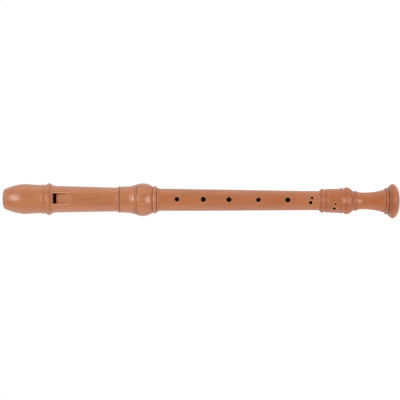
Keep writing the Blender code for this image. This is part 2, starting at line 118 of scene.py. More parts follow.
LATHE_SIDES = 160
CURVE_PITCH = 0.0007
CURVE_STEPS = 3
EDGE_SOFTNESS = 0.0004
SOFT_FROM = math.radians(14)
SOFT_STEPS = 4
SOFT_SHARE = 0.45
DRILL_SIDES = 48
DRILL_REACH = 0.0020
RIM_ROUNDING = 0.00035
RIM_ANGLES = (15, 35, 55, 75, 90)
WELD = 0.00001
BEYOND = 1.0
SHARP = math.radians(32)
HOLLOW_REACH = 0.0018
PROUD_REACH = 0.0010
MEAN_SHADE = 0.36
# Tint of end grain, partly its stain and partly painted shade on flanks that face along the bore
END_GRAIN_STAIN_AND_SHADE_TINT = (0.55, 0.42, 0.35, 1.0)
# Tint of the painted shade laid in grooves and hollows
HOLLOW_SHADE_TINT = (0.36, 0.24, 0.18, 1.0)
# Pale tint of wear on proud edges, made lighter still as a painted highlight
WORN_AND_HIGHLIT_PEARWOOD = (0.900, 0.500, 0.300, 1.0)
PEARWOOD_RING = 0.0027
PEARWOOD_RELIEF = 0.00002


def straight(way):
    """Even slope."""
    return way


def swelling(way, bend=2.0):
    """Steep at first and along the bore at the end."""
    return 1 - (1 - way) ** bend


def flaring(way):
    """Along the bore at first and steep at the end."""
    return way**2


def easing(way):
    """Along the bore at both ends."""
    return (1 - math.cos(math.pi * way)) / 2


class Turning:
    """Half section of a turned piece, followed from its upper end downwards."""

    def __init__(self, radius, height):
        self.points = [(radius, height)]

    def line(self, length, radius):
        """Go straight to a radius that is a length further down."""
        self.points.append((radius, self.points[-1][1] - length))

    def curve(self, length, radius, shape):
        """Go to a radius that is a length further down, in small steps along a shape."""
        start, top = self.points[-1]
        steps = CURVE_STEPS + round(length / CURVE_PITCH)
        for step in range(1, steps + 1):
            way = step / steps
            self.points.append((start + (radius - start) * shape(way), top - length * way))

    def bead(self, length, crown, radius):
        """Arch out to a crown, or groove in to it, and on to a radius."""
        self.curve(length / 2, crown, swelling)
        self.curve(length / 2, radius, flaring)

    def softened(self):
        """The points, with each outward corner rounded by a small arc, as sanding leaves it."""
        line = [Vector(point) for point in self.points]
        soft = [line[0]]
        for before, corner, after in zip(line, line[1:], line[2:]):
            came, goes = corner - before, after - corner
            bend = came.angle_signed(goes)
            if bend < SOFT_FROM:
                soft.append(corner)
                continue
            shorter = min(came.length, goes.length)
            setback = min(EDGE_SOFTNESS * math.tan(bend / 2), SOFT_SHARE * shorter)
            start = corner - came.normalized() * setback
            end = corner + goes.normalized() * setback
            for step in range(SOFT_STEPS + 1):
                way = step / SOFT_STEPS
                soft.append(start.lerp(corner, way).lerp(corner.lerp(end, way), way))
        return soft + line[-1:]


def turn_on_lathe(name, section):
    """Draw a closed half section edge by edge and spin it once round the bore's axis."""
    bpy.ops.mesh.primitive_plane_add(size=WELD)
    piece = bpy.context.active_object
    piece.name = name
    outline = [Vector((radius, 0, height)) for radius, height in section]
    bpy.ops.object.mode_set(mode="EDIT")
    bpy.ops.mesh.merge(type="CENTER")
    bpy.ops.transform.translate(value=outline[0])
    for here, there in zip(outline, outline[1:] + outline[:1]):
        bpy.ops.mesh.extrude_vertices_move(TRANSFORM_OT_translate={"value": there - here})
    bpy.ops.mesh.select_all(action="SELECT")
    bpy.ops.mesh.spin(steps=LATHE_SIDES, angle=math.tau, center=(0, 0, 0), axis=(0, 0, 1))
    bpy.ops.mesh.select_all(action="SELECT")
    bpy.ops.mesh.remove_doubles(threshold=WELD)
    bpy.ops.mesh.normals_make_consistent(inside=False)
    bpy.ops.object.mode_set(mode="OBJECT")
    return piece


def finish_inside(piece, finish, radius, low=-BEYOND, high=BEYOND):
    """Give a finish to the faces within a radius of the bore's axis, between two heights."""
    if finish.name not in piece.data.materials:
        piece.data.materials.append(finish)
    index = piece.data.materials.find(finish.name)
    for face in piece.data.polygons:
        if face.center.xy.length < radius and low < face.center.z < high:
            face.material_index = index


def carve(piece, tool, operation="DIFFERENCE"):
    """Cut a piece with a tool whose finish the cut faces take, and put the tool away."""
    cut = piece.modifiers.new(tool.name, "BOOLEAN")
    cut.operation = operation
    cut.solver = "MANIFOLD"
    cut.material_mode = "TRANSFER"
    cut.object = tool
    bpy.context.view_layer.objects.active = piece
    bpy.ops.object.modifier_apply(modifier=cut.name)
    bpy.data.objects.remove(tool)


def drill(piece, height, diameter, turn, wall_radius, skin):
    """Drill a finger hole to the bore's axis, its rim rounded along the curved wall."""
    radius = diameter / 2
    steepness = [math.radians(angle) for angle in RIM_ANGLES]
    rings = [
        (radius + RIM_ROUNDING * (1 - math.sin(angle)), -RIM_ROUNDING * (1 - math.cos(angle)))
        for angle in steepness
    ]
    last_radius = rings[0][0] + RIM_ROUNDING / math.tan(steepness[0])
    last_level = DRILL_REACH
    bpy.ops.mesh.primitive_circle_add(
        vertices=DRILL_SIDES, radius=last_radius, fill_type="NGON", location=(0, 0, last_level)
    )
    bit = bpy.context.active_object
    bpy.ops.object.transform_apply()
    bpy.ops.object.mode_set(mode="EDIT")
    entry = (last_radius, rings[0][1] + RIM_ROUNDING)
    for ring_radius, level in [entry, *rings, (radius, -wall_radius)]:
        drop = (0, 0, level - last_level)
        bpy.ops.mesh.extrude_region_move(TRANSFORM_OT_translate={"value": drop})
        bpy.ops.transform.resize(value=(ring_radius / last_radius, ring_radius / last_radius, 1))
        last_radius, last_level = ring_radius, level
    bpy.ops.mesh.select_all(action="SELECT")
    bpy.ops.mesh.normals_make_consistent(inside=False)
    bpy.ops.object.mode_set(mode="OBJECT")
    bit.data.materials.append(skin)
    # The hole's wall below its rim takes the painted shade
    bit.data.materials.append(drilled_pearwood_painted_shade)
    for face in bit.data.polygons:
        face.material_index = int(face.center.z < -RIM_ROUNDING)
    for corner in bit.data.vertices:
        if corner.co.z > -wall_radius / 2:
            corner.co.z += math.sqrt(wall_radius**2 - corner.co.x**2) - wall_radius
    outward = Matrix.Rotation(turn, 4, "Z") @ Matrix.Rotation(math.pi / 2, 4, "X")
    bit.data.transform(outward @ Matrix.Translation((0, 0, wall_radius)))
    bit.data.transform(Matrix.Translation((0, 0, height)))
    carve(piece, bit)


def finish_surface(piece):
    """Weld what the cuts left open, and shade the curves smooth with their edges crisp."""
    bpy.ops.object.select_all(action="DESELECT")
    piece.select_set(True)
    bpy.context.view_layer.objects.active = piece
    bpy.ops.object.mode_set(mode="EDIT")
    bpy.ops.mesh.select_all(action="SELECT")
    bpy.ops.mesh.remove_doubles(threshold=WELD)
    bpy.ops.mesh.select_all(action="DESELECT")
    bpy.ops.object.mode_set(mode="OBJECT")
    bpy.ops.object.shade_smooth_by_angle(angle=SHARP)
    weighted = piece.modifiers.new("Even sheen", "WEIGHTED_NORMAL")
    weighted.keep_sharp = True
    bpy.ops.object.modifier_apply(modifier=weighted.name)


def put(tree, kind, inputs=None, **settings):
    """Add a node with its options, and with its inputs set, or linked where given a socket."""
    made = tree.nodes.new("ShaderNode" + kind)
    for name, value in settings.items():
        setattr(made, name, value)
    for name, value in (inputs or {}).items():
        if isinstance(value, bpy.types.NodeSocket):
            tree.links.new(value, made.inputs[name])
        else:
            made.inputs[name].default_value = value
    return made


def maths(tree, operation, first, second=0.0, third=0.0):
    """Output of a Math node."""
    made = put(tree, "Math", {0: first, 1: second, 2: third}, operation=operation)
    return made.outputs[0]


def graded(tree, value, low, high, at_low=0.0, at_high=1.0):
    """Run evenly from one level to another while a value goes between two limits."""
    limits = {0: value, 1: low, 2: high, 3: at_low, 4: at_high}
    return put(tree, "MapRange", limits).outputs[0]


def blend(tree, factor, first, second, blend_type="MIX"):
    """Output of a colour mix."""
    made = put(tree, "Mix", data_type="RGBA", blend_type=blend_type)
    for index, value in ((0, factor), (6, first), (7, second)):
        if isinstance(value, bpy.types.NodeSocket):
            tree.links.new(value, made.inputs[index])
        else:
            made.inputs[index].default_value = value
    return made.outputs[2]


def new_group(name, takes, gives):
    """Start a node group, and give its tree, its input sockets and its output node."""
    tree = bpy.data.node_groups.new(name, "ShaderNodeTree")
    for direction, sockets in (("INPUT", takes), ("OUTPUT", gives)):
        for socket, kind in sockets:
            tree.interface.new_socket(socket, in_out=direction, socket_type="NodeSocket" + kind)
    start = tree.nodes.new("NodeGroupInput")
    end = tree.nodes.new("NodeGroupOutput")
    return tree, start.outputs, end


def turned_grain_group():
    """Wood whose grain runs along the bore: fibres, growth rings, figure, end grain with painted
    shade, wear with a painted highlight, and painted shade in hollows.
    """
    tree, takes, end = new_group(
        "turned_grain",
        [
            ("Billet", "Vector"),
            ("Pale", "Color"),
            ("Deep", "Color"),
            ("Ring Width", "Float"),
            ("Rings", "Float"),
            ("Figure", "Float"),
            ("Hollow Shade", "Float"),
            ("Wear And Highlight", "Float"),
            ("Roughness", "Float"),
        ],
        [("Color", "Color"), ("Height", "Float"), ("Roughness", "Float")],
    )
    place = put(tree, "TexCoord")
    spot = put(tree, "VectorMath", {0: place.outputs["Object"], 1: takes["Billet"]}).outputs[0]

    def along_grain(stretch):
        """The place in the billet, drawn out along the bore."""
        made = put(tree, "VectorMath", {0: spot, 1: (1, 1, stretch)}, operation="MULTIPLY")
        return made.outputs[0]

    def streaks(scale, stretch, detail):
        """Noise about zero, in streaks along the bore."""
        made = put(
            tree,
            "TexNoise",
            {"Vector": along_grain(stretch), "Scale": scale, "Detail": detail, "Roughness": 0.6},
        )
        return maths(tree, "SUBTRACT", made.outputs["Fac"], 0.5)

    fibres = streaks(scale=1300, stretch=0.025, detail=4)
    hairs = streaks(scale=5200, stretch=0.02, detail=2)
    figure = streaks(scale=240, stretch=0.10, detail=3)
    clouds = streaks(scale=34, stretch=0.30, detail=2)
    # One turn of a wave texture's rings is 0.314 of its own units
    ring_scale = maths(tree, "DIVIDE", 0.314, takes["Ring Width"])
    rings = put(
        tree,
        "TexWave",
        {
            "Vector": along_grain(stretch=0.05),
            "Scale": ring_scale,
            "Distortion": 3.2,
            "Detail": 2.0,
            "Detail Scale": 0.7,
            "Detail Roughness": 0.5,
        },
        wave_type="RINGS",
        rings_direction="Z",
        wave_profile="SAW",
    )
    late_wood = maths(tree, "POWER", rings.outputs["Fac"], 3.0)
    slope = put(tree, "SeparateXYZ", {0: place.outputs["Normal"]}).outputs["Z"]
    end_grain = maths(tree, "POWER", maths(tree, "ABSOLUTE", slope), 1.6)

    def nearness(reach, open_at, shut_at, inside):
        """Nought where a surface lies open, and one where others close in within a reach."""
        made = put(
            tree,
            "AmbientOcclusion",
            {"Distance": reach},
            samples=8,
            only_local=True,
            inside=inside,
        )
        return graded(tree, made.outputs["AO"], open_at, shut_at)

    hollow = nearness(HOLLOW_REACH, open_at=0.80, shut_at=0.30, inside=False)
    proud = nearness(PROUD_REACH, open_at=0.92, shut_at=0.55, inside=True)
    worn_and_highlit = maths(tree, "MULTIPLY", proud, takes["Wear And Highlight"])

    # Each part of the grain moves the wood between pale and deep by a weight of its own; proud
    # edges go paler as wear and as a painted highlight
    shade = maths(tree, "MULTIPLY_ADD", late_wood, takes["Rings"], MEAN_SHADE)
    weights = [
        (fibres, 0.55),
        (hairs, 0.30),
        (figure, takes["Figure"]),
        (clouds, 0.85),
        (end_grain, 0.42),
        (worn_and_highlit, -0.60),
    ]
    for part, weight in weights:
        shade = maths(tree, "MULTIPLY_ADD", part, weight, shade)
    clamped = put(tree, "Clamp", {0: shade}).outputs[0]
    colour = blend(tree, clamped, takes["Pale"], takes["Deep"])

    # End grain drinks more stain and takes painted shade, unless it is rubbed bare; then come wear
    # with a painted highlight, and painted shade in hollows
    thirst_and_shade = graded(tree, end_grain, 0.5, 0.95, 0.0, 0.8)
    thirst_and_shade = maths(tree, "MULTIPLY", thirst_and_shade, maths(tree, "SUBTRACT", 1.0, worn_and_highlit))
    stained_and_shaded = blend(tree, 1.0, colour, END_GRAIN_STAIN_AND_SHADE_TINT, "MULTIPLY")
    colour = blend(tree, thirst_and_shade, colour, stained_and_shaded)
    # Proud edges go pale, partly as wear and partly as a painted highlight
    colour = blend(tree, worn_and_highlit, colour, WORN_AND_HIGHLIT_PEARWOOD)
    # Painted shade: grooves and hollows are darkened towards a brown tint
    hollow_shade = maths(tree, "MULTIPLY", hollow, takes["Hollow Shade"])
    shaded_hollows = blend(tree, 1.0, colour, HOLLOW_SHADE_TINT, "MULTIPLY")
    tree.links.new(blend(tree, hollow_shade, colour, shaded_hollows), end.inputs["Color"])

    height = maths(tree, "MULTIPLY_ADD", fibres, 0.8, maths(tree, "MULTIPLY", hairs, 0.6))
    tree.links.new(height, end.inputs["Height"])
    dull = maths(tree, "MULTIPLY_ADD", fibres, 0.16, takes["Roughness"])
    dull = maths(tree, "MULTIPLY_ADD", end_grain, 0.06, dull)
    dull = maths(tree, "MULTIPLY_ADD", hollow, 0.12, dull)
    tree.links.new(dull, end.inputs["Roughness"])
    return tree


def wood(name, billet, pale, deep, ring_width, rings, figure, hollow_shade, roughness, relief, wear_and_highlight=0.0):
    """A wood of its own colours and grain, with the surface still to be coated."""
    finish = bpy.data.materials.new(name)
    finish.use_nodes = True
    tree = finish.node_tree
    surface = tree.nodes["Principled BSDF"]
    grain = put(tree, "Group", node_tree=turned_grain)
    values = {
        "Billet": billet,
        "Pale": (*pale, 1.0),
        "Deep": (*deep, 1.0),
        "Ring Width": ring_width,
        "Rings": rings,
        "Figure": figure,
        "Hollow Shade": hollow_shade,
        "Wear And Highlight": wear_and_highlight,
        "Roughness": roughness,
    }
    for socket, value in values.items():
        grain.inputs[socket].default_value = value
    height = grain.outputs["Height"]
    bump = put(tree, "Bump", {"Height": height, "Distance": relief, "Strength": 1.0})
    tree.links.new(grain.outputs["Color"], surface.inputs["Base Color"])
    tree.links.new(grain.outputs["Roughness"], surface.inputs["Roughness"])
    tree.links.new(bump.outputs["Normal"], surface.inputs["Normal"])
    return finish


def oiled_pearwood(name, billet, pale, deep):
    """Stained pearwood rubbed with oil and wax to a satin skin."""
    finish = wood(
        name,
        billet,
        pale,
        deep,
        ring_width=PEARWOOD_RING,
        rings=0.22,
        figure=1.15,
        hollow_shade=1.0,
        roughness=0.44,
        relief=PEARWOOD_RELIEF,
        wear_and_highlight=0.8,
    )
    surface = finish.node_tree.nodes["Principled BSDF"]
    surface.inputs["Specular IOR Level"].default_value = 0.4
    surface.inputs["Coat Weight"].default_value = 1.0
    surface.inputs["Coat Roughness"].default_value = 0.26
    surface.inputs["Coat IOR"].default_value = 1.6
    return finish


turned_grain = turned_grain_group()
foot_pearwood = oiled_pearwood(
    "foot_pearwood",
    billet=(0.048, 0.021, 0.31),
    pale=(0.570, 0.166, 0.042),
    deep=(0.375, 0.078, 0.012),
)
bare_pearwood = wood(
    "bare_pearwood",
    billet=(0.05, 0.02, 0.1),
    pale=(0.640, 0.360, 0.200),
    deep=(0.470, 0.225, 0.110),
    ring_width=PEARWOOD_RING,
    rings=0.2,
    figure=0.5,
    hollow_shade=0.4,
    roughness=0.6,
    relief=PEARWOOD_RELIEF,
)
# The bore is paler than the wood outside, as painted light where little light reaches in
bored_pearwood_painted_light = wood(
    "bored_pearwood_painted_light",
    billet=(0.04, 0.03, 0.2),
    pale=(0.680, 0.300, 0.155),
    deep=(0.500, 0.195, 0.090),
    ring_width=PEARWOOD_RING,
    rings=0.2,
    figure=0.4,
    hollow_shade=0.2,
    roughness=0.42,
    relief=PEARWOOD_RELIEF,
)
# Finger hole walls are painted nearly black, as painted shade inside the holes
drilled_pearwood_painted_shade = wood(
    "drilled_pearwood_painted_shade",
    billet=(0.04, 0.03, 0.2),
    pale=(0.110, 0.036, 0.015),
    deep=(0.050, 0.015, 0.006),
    ring_width=PEARWOOD_RING,
    rings=0.2,
    figure=0.4,
    hollow_shade=0.4,
    roughness=0.5,
    relief=PEARWOOD_RELIEF,
)

foot_low, foot_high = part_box("foot_joint")
foot_outside = Turning(FOOT_LIP_RADIUS, foot_high.z)
foot_outside.curve(FOOT_FLARE_LENGTH, FOOT_FLARE_RADIUS, flaring)
foot_outside.bead(FOOT_BEAD_LENGTH, FOOT_BEAD_RADIUS, FOOT_GROOVE_RADIUS)
foot_outside.line(FOOT_GROOVE_LENGTH, FOOT_GROOVE_RADIUS)
foot_outside.bead(FOOT_RING_LENGTH, FOOT_RING_RADIUS, KEG_TOP_RADIUS)
foot_outside.curve(KEG_LENGTH, KEG_END_RADIUS, straight)
foot_outside.bead(KEG_RING_LENGTH, KEG_RING_RADIUS, KEG_GROOVE_TOP_RADIUS)
foot_outside.line(KEG_GROOVE_LENGTH, KEG_GROOVE_RADIUS)
foot_outside.bead(KEG_BEAD_LENGTH, KEG_BEAD_RADIUS, KEG_BEAD_END_RADIUS)
foot_outside.curve(WAIST_COVE_LENGTH, WAIST_COVE_RADIUS, easing)
foot_outside.bead(WAIST_GROOVE_LENGTH, WAIST_GROOVE_RADIUS, WAIST_RING_TOP_RADIUS)
foot_outside.bead(WAIST_RING_LENGTH, WAIST_RING_RADIUS, WAIST_RING_END_RADIUS)
foot_outside.curve(WAIST_LENGTH, NECK_RADIUS, swelling)
foot_outside.curve(NECK_LENGTH, NECK_RADIUS, straight)
foot_outside.curve(BELL_FLARE_LENGTH, BELL_FLARE_RADIUS, flaring)
foot_outside.line(BELL_STEP_LENGTH, BELL_STEP_RADIUS)
foot_outside.bead(BELL_RING_LENGTH, BELL_RING_RADIUS, BELL_RING_END_RADIUS)
foot_outside.bead(BELL_SCORE_LENGTH, BELL_SCORE_RADIUS, BELL_BROW_RADIUS)
foot_outside.curve(BELL_SLOPE_LENGTH, BELL_SLOPE_RADIUS, straight)
foot_outside.curve(BELL_ROUND_LENGTH, BELL_RADIUS, swelling)
foot_outside.curve(BELL_ROLL_LENGTH, BELL_FACE_RADIUS, flaring)

foot_socket_radius = LOWER_TENON_RADIUS + SOCKET_CLEARANCE
foot_socket_floor = foot_high.z - FOOT_SOCKET_DEPTH
foot_bore = [
    (BELL_BORE_RADIUS + BELL_BORE_BREAK, foot_low.z),
    (BELL_BORE_RADIUS, foot_low.z + BELL_BORE_BREAK),
    (THROAT_RADIUS, foot_low.z + THROAT_HEIGHT),
    (FOOT_BORE_TOP_RADIUS, foot_socket_floor),
    (foot_socket_radius, foot_socket_floor),
    (foot_socket_radius, foot_high.z - EDGE_BREAK),
    (foot_socket_radius + EDGE_BREAK, foot_high.z),
]
foot_wood = turn_on_lathe("foot_wood", foot_outside.softened() + foot_bore)
foot_wood.data.materials.append(foot_pearwood)
finish_inside(foot_wood, bored_pearwood_painted_light, FOOT_BORE_TOP_RADIUS, high=foot_socket_floor)
finish_inside(foot_wood, bare_pearwood, foot_socket_radius + WELD, low=foot_socket_floor - WELD)
seventh_holes = [
    (HOLE_7_SMALL_DEPTH, HOLE_7_SMALL_DIAMETER, HOLE_7_HALF_SPREAD),
    (HOLE_7_LARGE_DEPTH, HOLE_7_LARGE_DIAMETER, -HOLE_7_HALF_SPREAD),
]
for depth, diameter, spread in seventh_holes:
    height = foot_high.z - depth
    drill(foot_wood, height, diameter, FOOT_TURN + spread, KEG_END_RADIUS, foot_pearwood)
finish_surface(foot_wood)
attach(foot_wood, "foot")
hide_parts("foot_joint")

# Middle joint. One tapered tube of pearwood with a tenon at each end, its bore
# reamed to a cone, five single holes and a double sixth in front and the thumb
# hole behind. Each tenon is recessed for its band of cork.

MIDDLE_TOP_RADIUS = 0.01425
MIDDLE_END_RADIUS = 0.0124
MIDDLE_BORE_TOP_RADIUS = 0.0094
MIDDLE_BORE_END_RADIUS = 0.0073
UPPER_TENON_LENGTH = 0.0250
UPPER_TENON_RADIUS = 0.0122
LOWER_TENON_LENGTH = 0.0150
CORK_THICKNESS = 0.0010
CORK_BED = 0.0003
HOLE_1_DEPTH = 0.0225
HOLE_1_DIAMETER = 0.0060
HOLE_2_DEPTH = 0.0558
HOLE_2_DIAMETER = 0.0069
HOLE_3_DEPTH = 0.0880
HOLE_3_DIAMETER = 0.0069
HOLE_4_DEPTH = 0.1252
HOLE_4_DIAMETER = 0.0061
HOLE_5_DEPTH = 0.1623
HOLE_5_DIAMETER = 0.0070
HOLE_6_SMALL_DEPTH = 0.1929
HOLE_6_SMALL_DIAMETER = 0.0036
HOLE_6_SMALL_TURN = math.radians(13.8)
HOLE_6_LARGE_DEPTH = 0.1913
HOLE_6_LARGE_DIAMETER = 0.0050
HOLE_6_LARGE_TURN = math.radians(-15.7)
THUMB_HOLE_DEPTH = 0.0104
THUMB_HOLE_DIAMETER = 0.0060


def tenon_with_recess(radius, cork_low, cork_high):
    """Outside of a tenon round its cork's recess, from the top of the recess down."""
    bed_radius = radius - CORK_THICKNESS - CORK_BED
    bed_low, bed_high = cork_low - CORK_BED, cork_high + CORK_BED
    return [(radius, bed_high), (bed_radius, bed_high), (bed_radius, bed_low), (radius, bed_low)]


middle_low, middle_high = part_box("middle_joint")
upper_shoulder = middle_high.z - UPPER_TENON_LENGTH
lower_shoulder = middle_low.z + LOWER_TENON_LENGTH
upper_cork_low, upper_cork_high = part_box("upper_tenon_cork")
lower_cork_low, lower_cork_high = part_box("lower_tenon_cork")

body_outside = Turning(MIDDLE_TOP_RADIUS - EDGE_BREAK, upper_shoulder)
body_outside.curve(EDGE_BREAK, MIDDLE_TOP_RADIUS, swelling)
body_outside.curve(upper_shoulder - lower_shoulder - 2 * EDGE_BREAK, MIDDLE_END_RADIUS, straight)
body_outside.curve(EDGE_BREAK, MIDDLE_END_RADIUS - EDGE_BREAK, flaring)
middle_section = [
    (MIDDLE_BORE_END_RADIUS, middle_low.z),
    (MIDDLE_BORE_TOP_RADIUS, middle_high.z),
    (UPPER_TENON_RADIUS - EDGE_BREAK, middle_high.z),
    (UPPER_TENON_RADIUS, middle_high.z - EDGE_BREAK),
    *tenon_with_recess(UPPER_TENON_RADIUS, upper_cork_low.z, upper_cork_high.z),
    (UPPER_TENON_RADIUS, upper_shoulder),
    *body_outside.points,
    (LOWER_TENON_RADIUS, lower_shoulder),
    *tenon_with_recess(LOWER_TENON_RADIUS, lower_cork_low.z, lower_cork_high.z),
    (LOWER_TENON_RADIUS, middle_low.z + EDGE_BREAK),
    (LOWER_TENON_RADIUS - EDGE_BREAK, middle_low.z),
]
middle_wood = turn_on_lathe("middle_wood", middle_section)
middle_pearwood = oiled_pearwood(
    "middle_pearwood",
    billet=(-0.033, 0.041, 0.13),
    pale=(0.590, 0.187, 0.056),
    deep=(0.390, 0.094, 0.019),
)
middle_wood.data.materials.append(middle_pearwood)
finish_inside(middle_wood, bare_pearwood, BEYOND, low=upper_shoulder + WELD)
finish_inside(middle_wood, bare_pearwood, BEYOND, high=lower_shoulder - WELD)
finish_inside(middle_wood, bored_pearwood_painted_light, MIDDLE_BORE_TOP_RADIUS)
finger_holes = [
    (HOLE_1_DEPTH, HOLE_1_DIAMETER, 0),
    (HOLE_2_DEPTH, HOLE_2_DIAMETER, 0),
    (HOLE_3_DEPTH, HOLE_3_DIAMETER, 0),
    (HOLE_4_DEPTH, HOLE_4_DIAMETER, 0),
    (HOLE_5_DEPTH, HOLE_5_DIAMETER, 0),
    (HOLE_6_SMALL_DEPTH, HOLE_6_SMALL_DIAMETER, HOLE_6_SMALL_TURN),
    (HOLE_6_LARGE_DEPTH, HOLE_6_LARGE_DIAMETER, HOLE_6_LARGE_TURN),
    (THUMB_HOLE_DEPTH, THUMB_HOLE_DIAMETER, math.pi),
]
taper = (MIDDLE_TOP_RADIUS - MIDDLE_END_RADIUS) / (upper_shoulder - lower_shoulder)
for depth, diameter, turn in finger_holes:
    wall_radius = MIDDLE_TOP_RADIUS - taper * depth
    drill(middle_wood, upper_shoulder - depth, diameter, turn, wall_radius, middle_pearwood)
finish_surface(middle_wood)
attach(middle_wood, "middle")
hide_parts("middle_joint")

# Cork bands. Each is a strip of sheet cork glued round its tenon, its ends scarfed
# together, then sanded down to fit the socket and rubbed with grease.

CORK_EDGE = 0.0003
CORK_COLOUR = (0.560, 0.330, 0.150, 1.0)
CORK_DARK = (0.230, 0.105, 0.040, 1.0)
CORK_GRAIN = 900.0
CORK_PORES = 420.0


def greased_cork():
    """Pressed grains of cork, with dark pores between them and a dull film of grease."""
    finish = bpy.data.materials.new("greased_cork")
    finish.use_nodes = True
    tree = finish.node_tree
    surface = tree.nodes["Principled BSDF"]
    place = put(tree, "TexCoord").outputs["Object"]
    pressed = {"Vector": place, "Scale": CORK_GRAIN}
    tint = put(tree, "TexVoronoi", pressed, feature="F1").outputs["Color"]
    tint = put(tree, "SeparateColor", {0: tint}).outputs[0]
    seam = put(tree, "TexVoronoi", pressed, feature="DISTANCE_TO_EDGE").outputs["Distance"]
    seam = graded(tree, seam, 0.0, 0.12, 1.0, 0.0)
    pore = put(tree, "TexNoise", {"Vector": place, "Scale": CORK_PORES, "Detail": 3.0})
    pore = graded(tree, pore.outputs["Fac"], 0.56, 0.66)
    shade = maths(tree, "MULTIPLY_ADD", tint, 0.30, maths(tree, "MULTIPLY", seam, 0.25))
    shade = maths(tree, "MAXIMUM", shade, pore)
    colour = blend(tree, shade, CORK_COLOUR, CORK_DARK)
    tree.links.new(colour, surface.inputs["Base Color"])
    dip = maths(tree, "MULTIPLY", shade, -1.0)
    bump = put(tree, "Bump", {"Height": dip, "Distance": 0.0001, "Strength": 0.8})
    tree.links.new(bump.outputs["Normal"], surface.inputs["Normal"])
    surface.inputs["Roughness"].default_value = 0.62
    return finish


cork = greased_cork()
for node, body, low, high, radius in [
    ("upper_tenon_cork", "upper_cork", upper_cork_low, upper_cork_high, UPPER_TENON_RADIUS),
    ("lower_tenon_cork", "lower_cork", lower_cork_low, lower_cork_high, LOWER_TENON_RADIUS),
]:
    band_outside = Turning(radius - CORK_EDGE, high.z)
    band_outside.curve(CORK_EDGE, radius, swelling)
    band_outside.curve(high.z - low.z - 2 * CORK_EDGE, radius, straight)
    band_outside.curve(CORK_EDGE, radius - CORK_EDGE, flaring)
    inside_radius = radius - CORK_THICKNESS
    band = turn_on_lathe(
        body + "_band", [*band_outside.points, (inside_radius, low.z), (inside_radius, high.z)]
    )
    band.data.materials.append(cork)
    finish_surface(band)
    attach(band, body)
    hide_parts(node)

# Head joint. One piece of pearwood: the beak, its ring and bead, the barrel with
# the window and its ramp, a fine ridge, and the swollen socket for the middle
# joint's upper tenon. The windway is cut along the bore, the beak hollowed below.

BEAK_TIP_RADIUS = 0.01293
BEAK_LIP = 0.0010
BEAK_SWELL_LENGTH = 0.0244
BEAK_BEND = 1.7
BEAK_RADIUS = 0.0191
BEAK_WAIST_LENGTH = 0.0194
BEAK_WAIST_RADIUS = 0.0181
BEAK_CUT_LENGTH = 0.0480
BEAK_CUT_OFFSET = 0.0003
HEAD_COLLAR_LENGTH = 0.0035
HEAD_COLLAR_RADIUS = 0.0182
HEAD_RING_LENGTH = 0.0024
HEAD_RING_RADIUS = 0.0188
HEAD_GROOVE_LENGTH = 0.0021
HEAD_GROOVE_RADIUS = 0.0181
HEAD_BEAD_LENGTH = 0.0084
HEAD_BEAD_RADIUS = 0.02035
HEAD_COVE_LENGTH = 0.0090
HEAD_COVE_TOP_RADIUS = 0.0178
BARREL_LENGTH = 0.0700
BARREL_TOP_RADIUS = 0.0169
BARREL_END_RADIUS = 0.0153
RIDGE_FLARE_LENGTH = 0.0048
RIDGE_FLARE_RADIUS = 0.0158
RIDGE_RISE_LENGTH = 0.0008
RIDGE_LENGTH = 0.0008
RIDGE_RADIUS = 0.0173
RIDGE_SCORE_LENGTH = 0.0020
RIDGE_SCORE_RADIUS = 0.0158
SLEEVE_LENGTH = 0.0051
SLEEVE_TOP_RADIUS = 0.0168
SLEEVE_RADIUS = 0.01675
SLEEVE_FLARE_LENGTH = 0.0127
SLEEVE_FLARE_RADIUS = 0.0187
SCORE_LENGTH = 0.0007
SCORE_DEPTH = 0.0004
FILLET_LENGTH = 0.0018
FILLET_RADIUS = 0.0194
FILLET_END_RADIUS = 0.0193
BULB_TOP_RADIUS = 0.0201
BULB_RISE_LENGTH = 0.0070
BULB_RADIUS = 0.0209
BULB_FALL_LENGTH = 0.0115
BULB_END_RADIUS = 0.0174
MOUTH_GROOVE_LENGTH = 0.0016
MOUTH_GROOVE_RADIUS = 0.0163
MOUTH_BEAD_TOP_RADIUS = 0.0170
MOUTH_BEAD_LENGTH = 0.0040
MOUTH_BEAD_RADIUS = 0.0177
MOUTH_BEAD_END_RADIUS = 0.0168
MOUTH_STEP_LENGTH = 0.0008
MOUTH_STEP_RADIUS = 0.0151
MOUTH_LIP_LENGTH = 0.0020
MOUTH_LIP_RADIUS = 0.0154
MOUTH_LIP_END_RADIUS = 0.0148
MOUTH_EDGE_LENGTH = 0.0008
MOUTH_EDGE_RADIUS = 0.0143
HEAD_BORE_RADIUS = 0.0097
HEAD_SOCKET_DEPTH = 0.0253
WINDWAY_WIDTH = 0.0125
WINDWAY_HEIGHT = 0.0015
WINDWAY_ARCH_RADIUS = 0.0140
WINDWAY_FLOOR_DEPTH = 0.0084
WINDOW_LENGTH = 0.0041
WINDOW_WIDTH = 0.0138
RAMP_LENGTH = 0.0211
RAMP_ARCH_RADIUS = 0.0260
LIP_THICKNESS = 0.0005
DRUM_SIDES = 256
OVERCUT = 0.0100
HEAD_BILLET = (0.026, -0.046, 0.02)


def beak_curve(way):
    """Swell of the beak, which is fuller than the others."""
    return swelling(way, BEAK_BEND)


def box_tool(low, high, finish):
    """A box between two corners."""
    sizes = [top - bottom for bottom, top in zip(low, high)]
    middle = [(top + bottom) / 2 for bottom, top in zip(low, high)]
    bpy.ops.mesh.primitive_cube_add(size=1)
    tool = bpy.context.active_object
    tool.data.transform(Matrix.Translation(middle) @ Matrix.Diagonal((*sizes, 1)))
    tool.data.materials.append(finish)
    return tool


